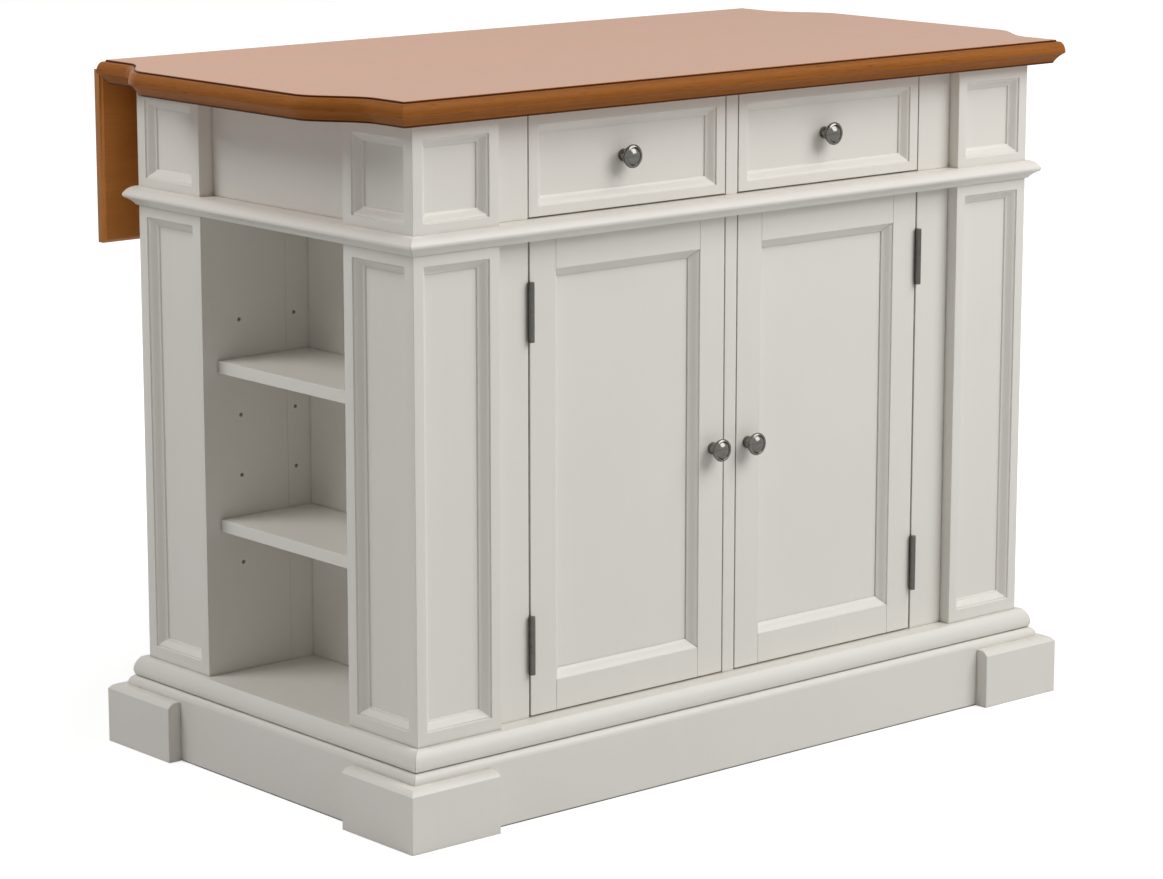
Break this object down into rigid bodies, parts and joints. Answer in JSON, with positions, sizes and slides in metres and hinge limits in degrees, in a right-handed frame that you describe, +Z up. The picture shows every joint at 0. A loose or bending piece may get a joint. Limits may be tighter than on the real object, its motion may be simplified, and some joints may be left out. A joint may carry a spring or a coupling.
{
  "type": "drop leaf kitchen island",
  "caption": "Free-standing kitchen island: painted cabinet with doors, drawers, end shelf bays and moulded plinth, under a shaped wooden top with a hinged drop leaf on folding supports.",
  "frame": {"origin": "on the floor, midway between the four corner posts of the cabinet", "axes": "+X to the right along the front, +Z up, and the doors and drawers face -Y; the leaf hangs at the back, on the +Y side"},
  "size_m": [1.236, 0.6703, 0.914],
  "materials": {
    "stained_wood": "satin lacquer",
    "painted_wood": "satin paint",
    "bare_wood": "matte",
    "pewter": "brushed pewter plate",
    "zinc_steel": "zinc plate",
    "brown_plastic": "matte"
  },
  "bodies": {
    "cabinet": {"countertop": "stained_wood", "post_front_left": "painted_wood", "post_front_right": "painted_wood", "post_rear_left": "painted_wood", "post_rear_right": "painted_wood", "floor_board": "painted_wood", "partition_left": "painted_wood", "partition_right": "painted_wood", "bay_cheeks": "painted_wood", "bay_ceilings": "painted_wood", "end_frieze_panels": "painted_wood", "face_frame": "painted_wood", "front_mid_rail": "painted_wood", "back_mid_rail": "painted_wood", "back_panel": "painted_wood", "back_frieze_panel": "painted_wood", "belt_moulding": "painted_wood", "base_moulding": "painted_wood", "plinth_rails": "painted_wood", "plinth_blocks": "bare_wood", "feet": "painted_wood", "drawer_deck": "bare_wood", "drawer_divider": "bare_wood", "top_stretchers": "bare_wood", "runner_packers": "bare_wood", "cabinet_runners": "zinc_steel", "cupboard_shelf": "painted_wood", "bay_shelves": "painted_wood", "shelf_pins": "zinc_steel", "door_hinge_frame_leaves": "pewter", "door_catches": "brown_plastic", "leaf_hinge_fixed": "pewter", "support_brackets": "zinc_steel", "support_pins": "zinc_steel", "lever_springs": "zinc_steel"},
    "door_left": {"door_left_frame": "painted_wood", "door_left_panel": "painted_wood", "door_left_knob": "pewter", "door_left_fittings": "pewter"},
    "door_right": {"door_right_frame": "painted_wood", "door_right_panel": "painted_wood", "door_right_knob": "pewter", "door_right_fittings": "pewter"},
    "drawer_left": {"drawer_left_front": "painted_wood", "drawer_left_box": "bare_wood", "drawer_left_bottom": "bare_wood", "drawer_left_knob": "pewter", "drawer_left_runners": "zinc_steel"},
    "drawer_right": {"drawer_right_front": "painted_wood", "drawer_right_box": "bare_wood", "drawer_right_bottom": "bare_wood", "drawer_right_knob": "pewter", "drawer_right_runners": "zinc_steel"},
    "leaf": {"drop_leaf": "stained_wood", "leaf_hinge_moving": "pewter"},
    "arm_left": {"support_arm_left": "zinc_steel"},
    "arm_right": {"support_arm_right": "zinc_steel"},
    "lever_left": {"release_lever_left": "zinc_steel"},
    "lever_right": {"release_lever_right": "zinc_steel"}
  },
  "joints": [
    {"name": "door_left_hinge", "type": "hinge", "parent": "cabinet", "child": "door_left", "pos_m": [-0.3385, -0.2755, 0.42], "axis": [0, 0, -1], "range_deg": [0, 110]},
    {"name": "door_right_hinge", "type": "hinge", "parent": "cabinet", "child": "door_right", "pos_m": [0.3385, -0.2755, 0.42], "axis": [0, 0, 1], "range_deg": [0, 110]},
    {"name": "drawer_left_slide", "type": "slide", "parent": "cabinet", "child": "drawer_left", "axis": [0, -1, 0], "range_m": [0, 0.3]},
    {"name": "drawer_right_slide", "type": "slide", "parent": "cabinet", "child": "drawer_right", "axis": [0, -1, 0], "range_m": [0, 0.3]},
    {"name": "leaf_hinge", "type": "hinge", "parent": "cabinet", "child": "leaf", "pos_m": [0, 0.3255, 0.898], "axis": [1, 0, 0], "range_deg": [0, 90]},
    {"name": "arm_left_pivot", "type": "hinge", "parent": "cabinet", "child": "arm_left", "pos_m": [-0.24, 0.2955, 0.868], "axis": [1, 0, 0], "range_deg": [0, 90]},
    {"name": "arm_right_pivot", "type": "hinge", "parent": "cabinet", "child": "arm_right", "pos_m": [0.24, 0.2955, 0.868], "axis": [1, 0, 0], "range_deg": [0, 90]},
    {"name": "lever_left_pivot", "type": "hinge", "parent": "cabinet", "child": "lever_left", "pos_m": [-0.24, 0.28, 0.848], "axis": [1, 0, 0], "range_deg": [0, 12], "stiffness_Nm_per_rad": 0.3, "springref_deg": -5.73},
    {"name": "lever_right_pivot", "type": "hinge", "parent": "cabinet", "child": "lever_right", "pos_m": [0.24, 0.28, 0.848], "axis": [1, 0, 0], "range_deg": [0, 12], "stiffness_Nm_per_rad": 0.3, "springref_deg": -5.73}
  ],
  "couplings": [
    {"joint": "arm_left_pivot", "follows": "leaf_hinge", "ratio": 1},
    {"joint": "arm_right_pivot", "follows": "leaf_hinge", "ratio": 1}
  ]
}
